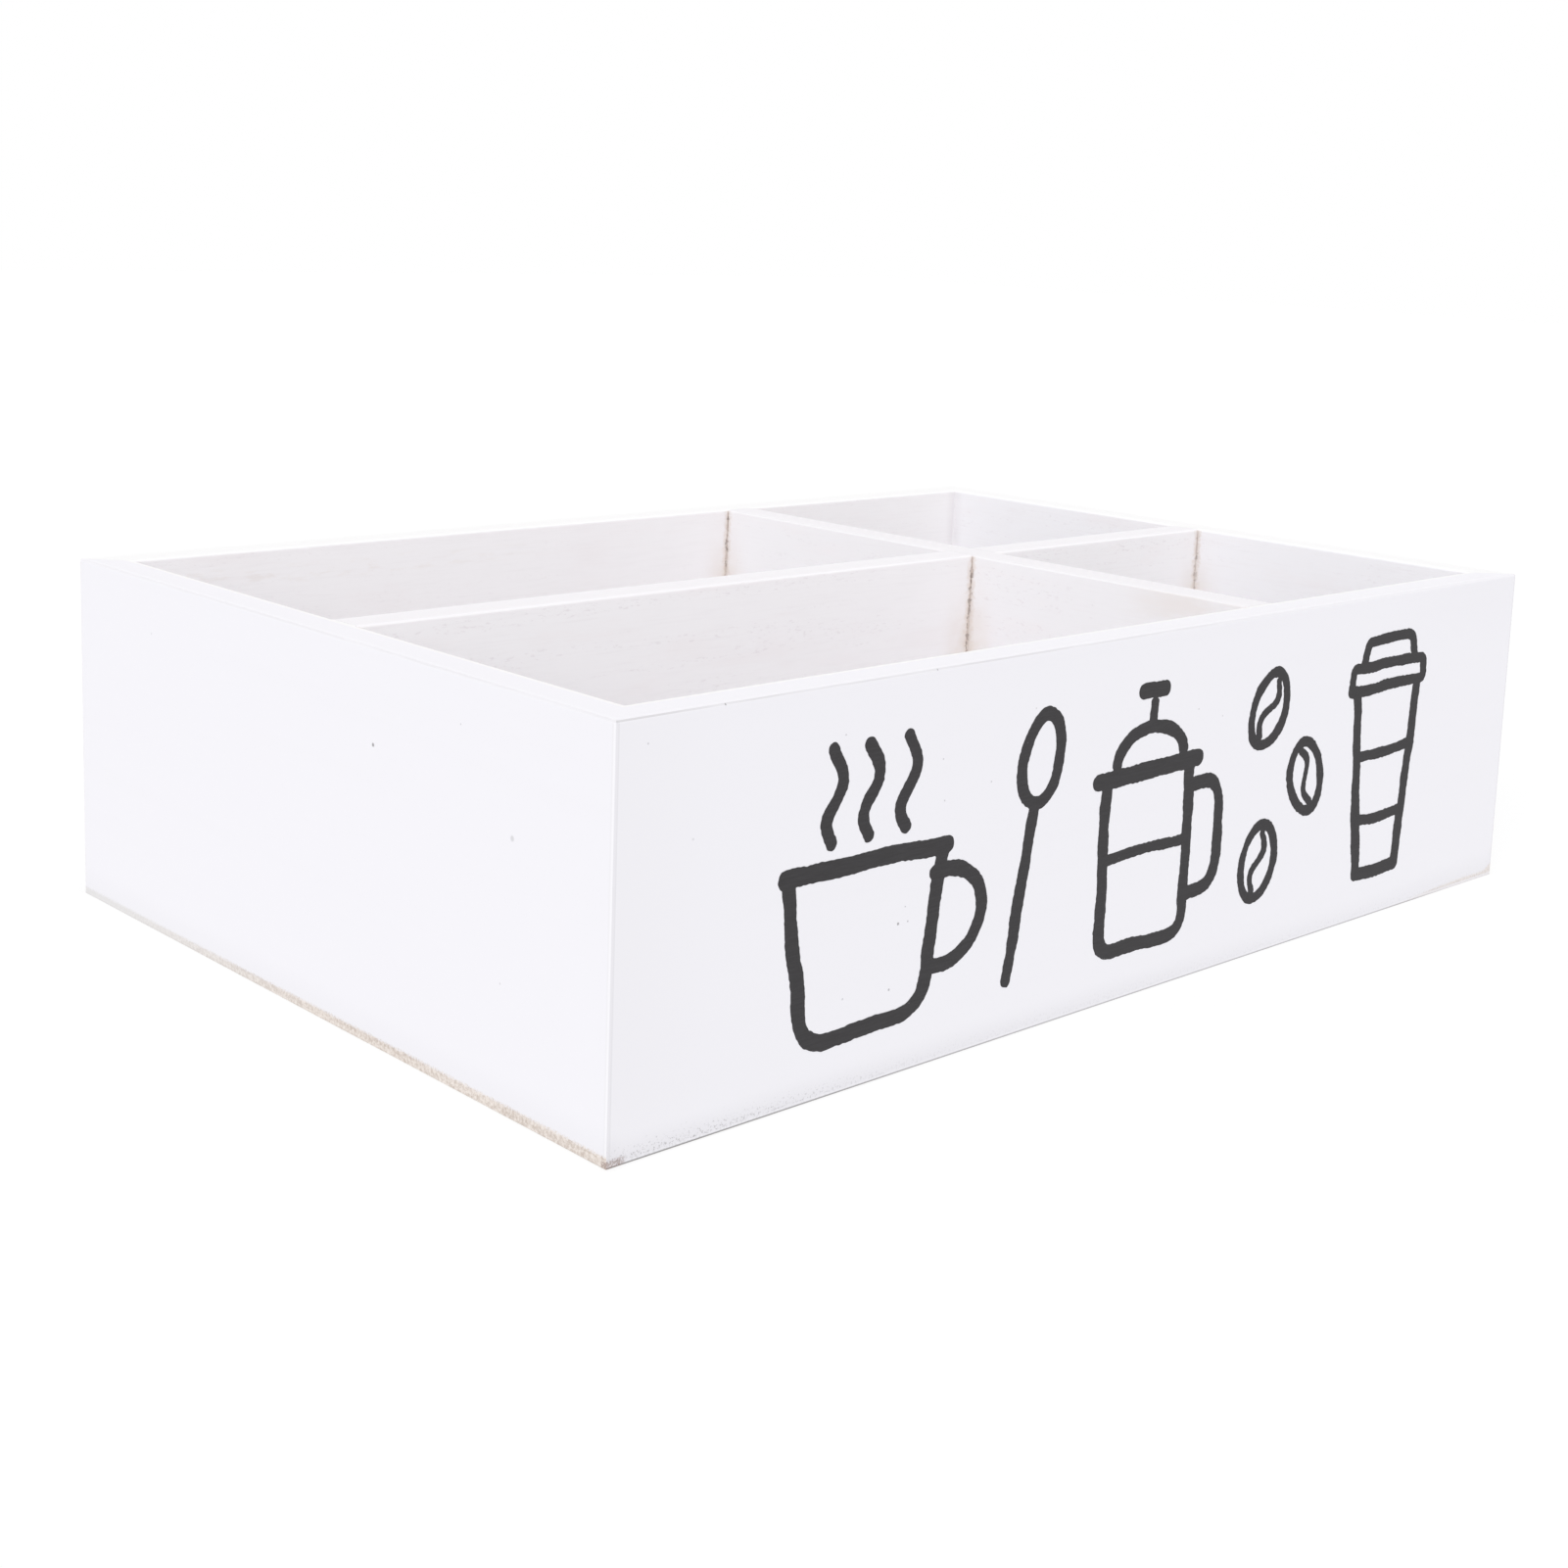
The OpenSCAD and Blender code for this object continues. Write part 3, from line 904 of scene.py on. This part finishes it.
def straight(*points):
    """Evenly spaced points along straight runs."""
    spots = []
    for start, end in zip(points, points[1:]):
        start, end = np.array(start, float), np.array(end, float)
        count = max(2, int(np.hypot(*(end - start)) / STEP))
        spots += [start + (end - start) * step / count for step in range(count + 1)]
    return np.array(spots)


def rounded(points, radius):
    """Straight runs whose corners are rounded off with quarter-like curves."""
    points = [np.array(point, float) for point in points]
    spots = [points[0]]
    for before, corner, after in zip(points, points[1:], points[2:]):
        start = corner + (before - corner) / np.hypot(*(before - corner)) * radius
        end = corner + (after - corner) / np.hypot(*(after - corner)) * radius
        for step in np.linspace(0, 1, CORNER_POINTS):
            spots.append((1 - step) ** 2 * start + 2 * step * (1 - step) * corner + step ** 2 * end)
    spots.append(points[-1])
    return straight(*spots)


def oval(centre, half_width, half_height, tilt=0.0, start=0.0, end=360.0):
    """Arc of a tilted ellipse, angles in degrees."""
    turn = np.radians(np.linspace(start, end, OVAL_POINTS))
    across, upward = half_width * np.cos(turn), half_height * np.sin(turn)
    lean = math.radians(tilt)
    return np.column_stack((centre[0] + across * math.cos(lean) - upward * math.sin(lean),
                            centre[1] + across * math.sin(lean) + upward * math.cos(lean)))


def ripple(start, end, sway, turns):
    """Wavy line from start to end."""
    start, end = np.array(start, float), np.array(end, float)
    share = np.linspace(0, 1, RIPPLE_POINTS)[:, None]
    ahead = (end - start) / np.hypot(*(end - start))
    aside = np.array((-ahead[1], ahead[0]))
    return start + (end - start) * share + aside * sway * np.sin(2 * math.pi * turns * share)


def mug():
    yield rounded([(-119, 50), (-114, 13), (-78, 13), (-73, 50)], 8), BRUSH
    yield straight((-120, 50.5), (-72, 50)), BRUSH * 1.1
    yield oval((-73, 33.5), 14, 11, 0, -100, 97), BRUSH
    for left in (-107, -96, -85):
        yield ripple((left, 56), (left + 1, 76), 2.2, 1.1), BRUSH * 0.85


def spoon():
    yield oval((-41, 65), 6.5, 10.5, -10), BRUSH * 0.9
    yield straight((-43, 54), (-50, 14)), BRUSH


def press_pot():
    yield rounded([(-17, 56), (-17, 13), (15, 13), (15, 56)], 5), BRUSH
    yield straight((-20, 56), (18, 56.5)), BRUSH * 1.15
    yield oval((-1, 58), 13, 9, 0, 10, 170), BRUSH * 0.9
    yield straight((-1, 67), (-1, 73)), BRUSH * 0.8
    yield straight((-5, 76), (3, 76)), BRUSH
    yield rounded([(16, 50), (28, 50), (28, 22), (16, 22)], 8), BRUSH
    yield straight((-15, 36), (13, 37)), BRUSH * 0.75


def bean(centre, tilt):
    yield oval(centre, 6.8, 9.8, tilt), BRUSH * 0.75
    lean = math.radians(tilt)
    tip = np.array((-math.sin(lean), math.cos(lean))) * 7.6
    yield ripple(np.array(centre) - tip, np.array(centre) + tip, 1.9, 1.0), BRUSH * 0.6


def beans():
    yield from bean((47, 65), -28)
    yield from bean((65, 45), 22)
    yield from bean((46, 25), -12)


def paper_cup():
    yield straight((87, 64), (92, 13), (111, 13), (116, 64)), BRUSH
    yield rounded([(84, 65), (119, 65), (118, 71), (85, 71), (84, 65)], 1.5), BRUSH * 0.8
    yield rounded([(89, 71), (91, 78), (112, 78), (114, 71)], 2), BRUSH * 0.8
    yield straight((89, 46), (114, 47)), BRUSH * 0.8
    yield straight((91, 28), (112, 29)), BRUSH * 0.8


def motif_strokes():
    for draw in (mug, spoon, press_pot, beans, paper_cup):
        yield from draw()


def sway_field(across, upward, sway, seed, waves=14):
    """Smooth random field, whose height and the size of whose lumps in millimetres are the sway."""
    height, size = sway
    random = np.random.default_rng(seed)
    field = np.zeros_like(across)
    for _ in range(waves):
        heading = random.uniform(0, 2 * math.pi)
        pitch = size * random.uniform(1.2, 3.0)
        phase = random.uniform(0, 2 * math.pi)
        distance = across * math.cos(heading) + upward * math.sin(heading)
        field += np.sin(2 * math.pi * distance / pitch + phase)
    return height * (field / math.sqrt(waves))


def ink_field(strokes):
    """Grid of distances to the ink's edge, negative in the ink, with the grid's own coordinates."""
    margin = 2 * BRUSH
    every = np.vstack([points for points, _ in strokes])
    low, high = every.min(0) - margin, every.max(0) + margin
    across = np.arange(low[0], high[0], GRID)
    upward = np.arange(low[1], high[1], GRID)
    grid_x, grid_z = np.meshgrid(across, upward)
    drift_x = sway_field(grid_x, grid_z, HAND_SWAY, 3)
    drift_z = sway_field(grid_x, grid_z, HAND_SWAY, 4)
    field = np.full(grid_x.shape, margin)
    for points, half in strokes:
        reach = half + margin
        columns = slice(*np.searchsorted(across, (points[:, 0].min() - reach, points[:, 0].max() + reach)))
        rows = slice(*np.searchsorted(upward, (points[:, 1].min() - reach, points[:, 1].max() + reach)))
        here_x = grid_x[rows, columns] + drift_x[rows, columns]
        here_z = grid_z[rows, columns] + drift_z[rows, columns]
        window = field[rows, columns]
        for spot_x, spot_z in points:
            np.minimum(window, np.hypot(here_x - spot_x, here_z - spot_z) - half, out=window)
    field += sway_field(grid_x, grid_z, BRUSH_SWAY, 5) + sway_field(grid_x, grid_z, BRISTLE_SWAY, 6)
    return across, upward, field


def outlines(across, upward, field):
    """Closed outlines of the field's zero level, by marching squares."""
    inked = field < 0
    follows = {}

    def crossing(first, second):
        """Where the edge between two grid points crosses zero."""
        share = field[first] / (field[first] - field[second])
        at_first = np.array((across[first[1]], upward[first[0]]))
        at_second = np.array((across[second[1]], upward[second[0]]))
        return at_first + (at_second - at_first) * share

    mixed = inked[:-1, :-1].astype(int) + inked[1:, :-1] + inked[:-1, 1:] + inked[1:, 1:]
    spots = {}
    for row, column in zip(*np.nonzero((mixed > 0) & (mixed < 4))):
        ring = [(row, column), (row, column + 1), (row + 1, column + 1), (row + 1, column)]
        enters, leaves = [], []
        for first, second in zip(ring, ring[1:] + ring[:1]):
            if inked[first] == inked[second]:
                continue
            key = (min(first, second), max(first, second))
            spots[key] = crossing(first, second)
            (leaves if inked[first] else enters).append(key)
        if len(enters) == 2 and inked[ring[0]]:
            leaves.reverse()
        for enter, leave in zip(enters, leaves):
            follows[leave] = enter
    loops = []
    while follows:
        start, at = follows.popitem()
        loop = [spots[start]]
        while at != start:
            loop.append(spots[at])
            at = follows.pop(at)
        loops.append(loop)
    return loops


def filled_mesh(loops):
    """Thin plate in the XY plane whose outlines are the loops, the inner ones as holes."""
    curve = bpy.data.curves.new("front_motif", "CURVE")
    curve.dimensions = "2D"
    curve.fill_mode = "BOTH"
    curve.extrude = FILM / 2 * MM
    for loop in loops:
        spline = curve.splines.new("POLY")
        spline.points.add(len(loop) - 1)
        for point, (across, upward) in zip(spline.points, loop):
            point.co = (across * MM, upward * MM, 0, 1)
        spline.use_cyclic_u = True
    drawing = bpy.data.objects.new("drawing", curve)
    bpy.context.scene.collection.objects.link(drawing)
    bpy.context.view_layer.update()
    mesh = bpy.data.meshes.new_from_object(drawing)
    bpy.data.objects.remove(drawing)
    return mesh


def make_motif():
    """The ink as one thin film on the front board."""
    mesh = filled_mesh(outlines(*ink_field(list(motif_strokes()))))
    mesh.name = "front_motif"
    film_middle = FRONT_FACE + FILM_SINK - FILM / 2
    mesh.transform(Matrix.Translation((0, film_middle * MM, 0)) @ Matrix.Rotation(math.pi / 2, 4, "X"))
    mesh.materials.clear()
    mesh.materials.append(stencil_paint("stencil_paint"))
    motif = bpy.data.objects.new("front_motif", mesh)
    bpy.context.scene.collection.objects.link(motif)
    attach(motif, "root")


make_camera()
make_lights()
make_floor()
dress_tray()
make_motif()
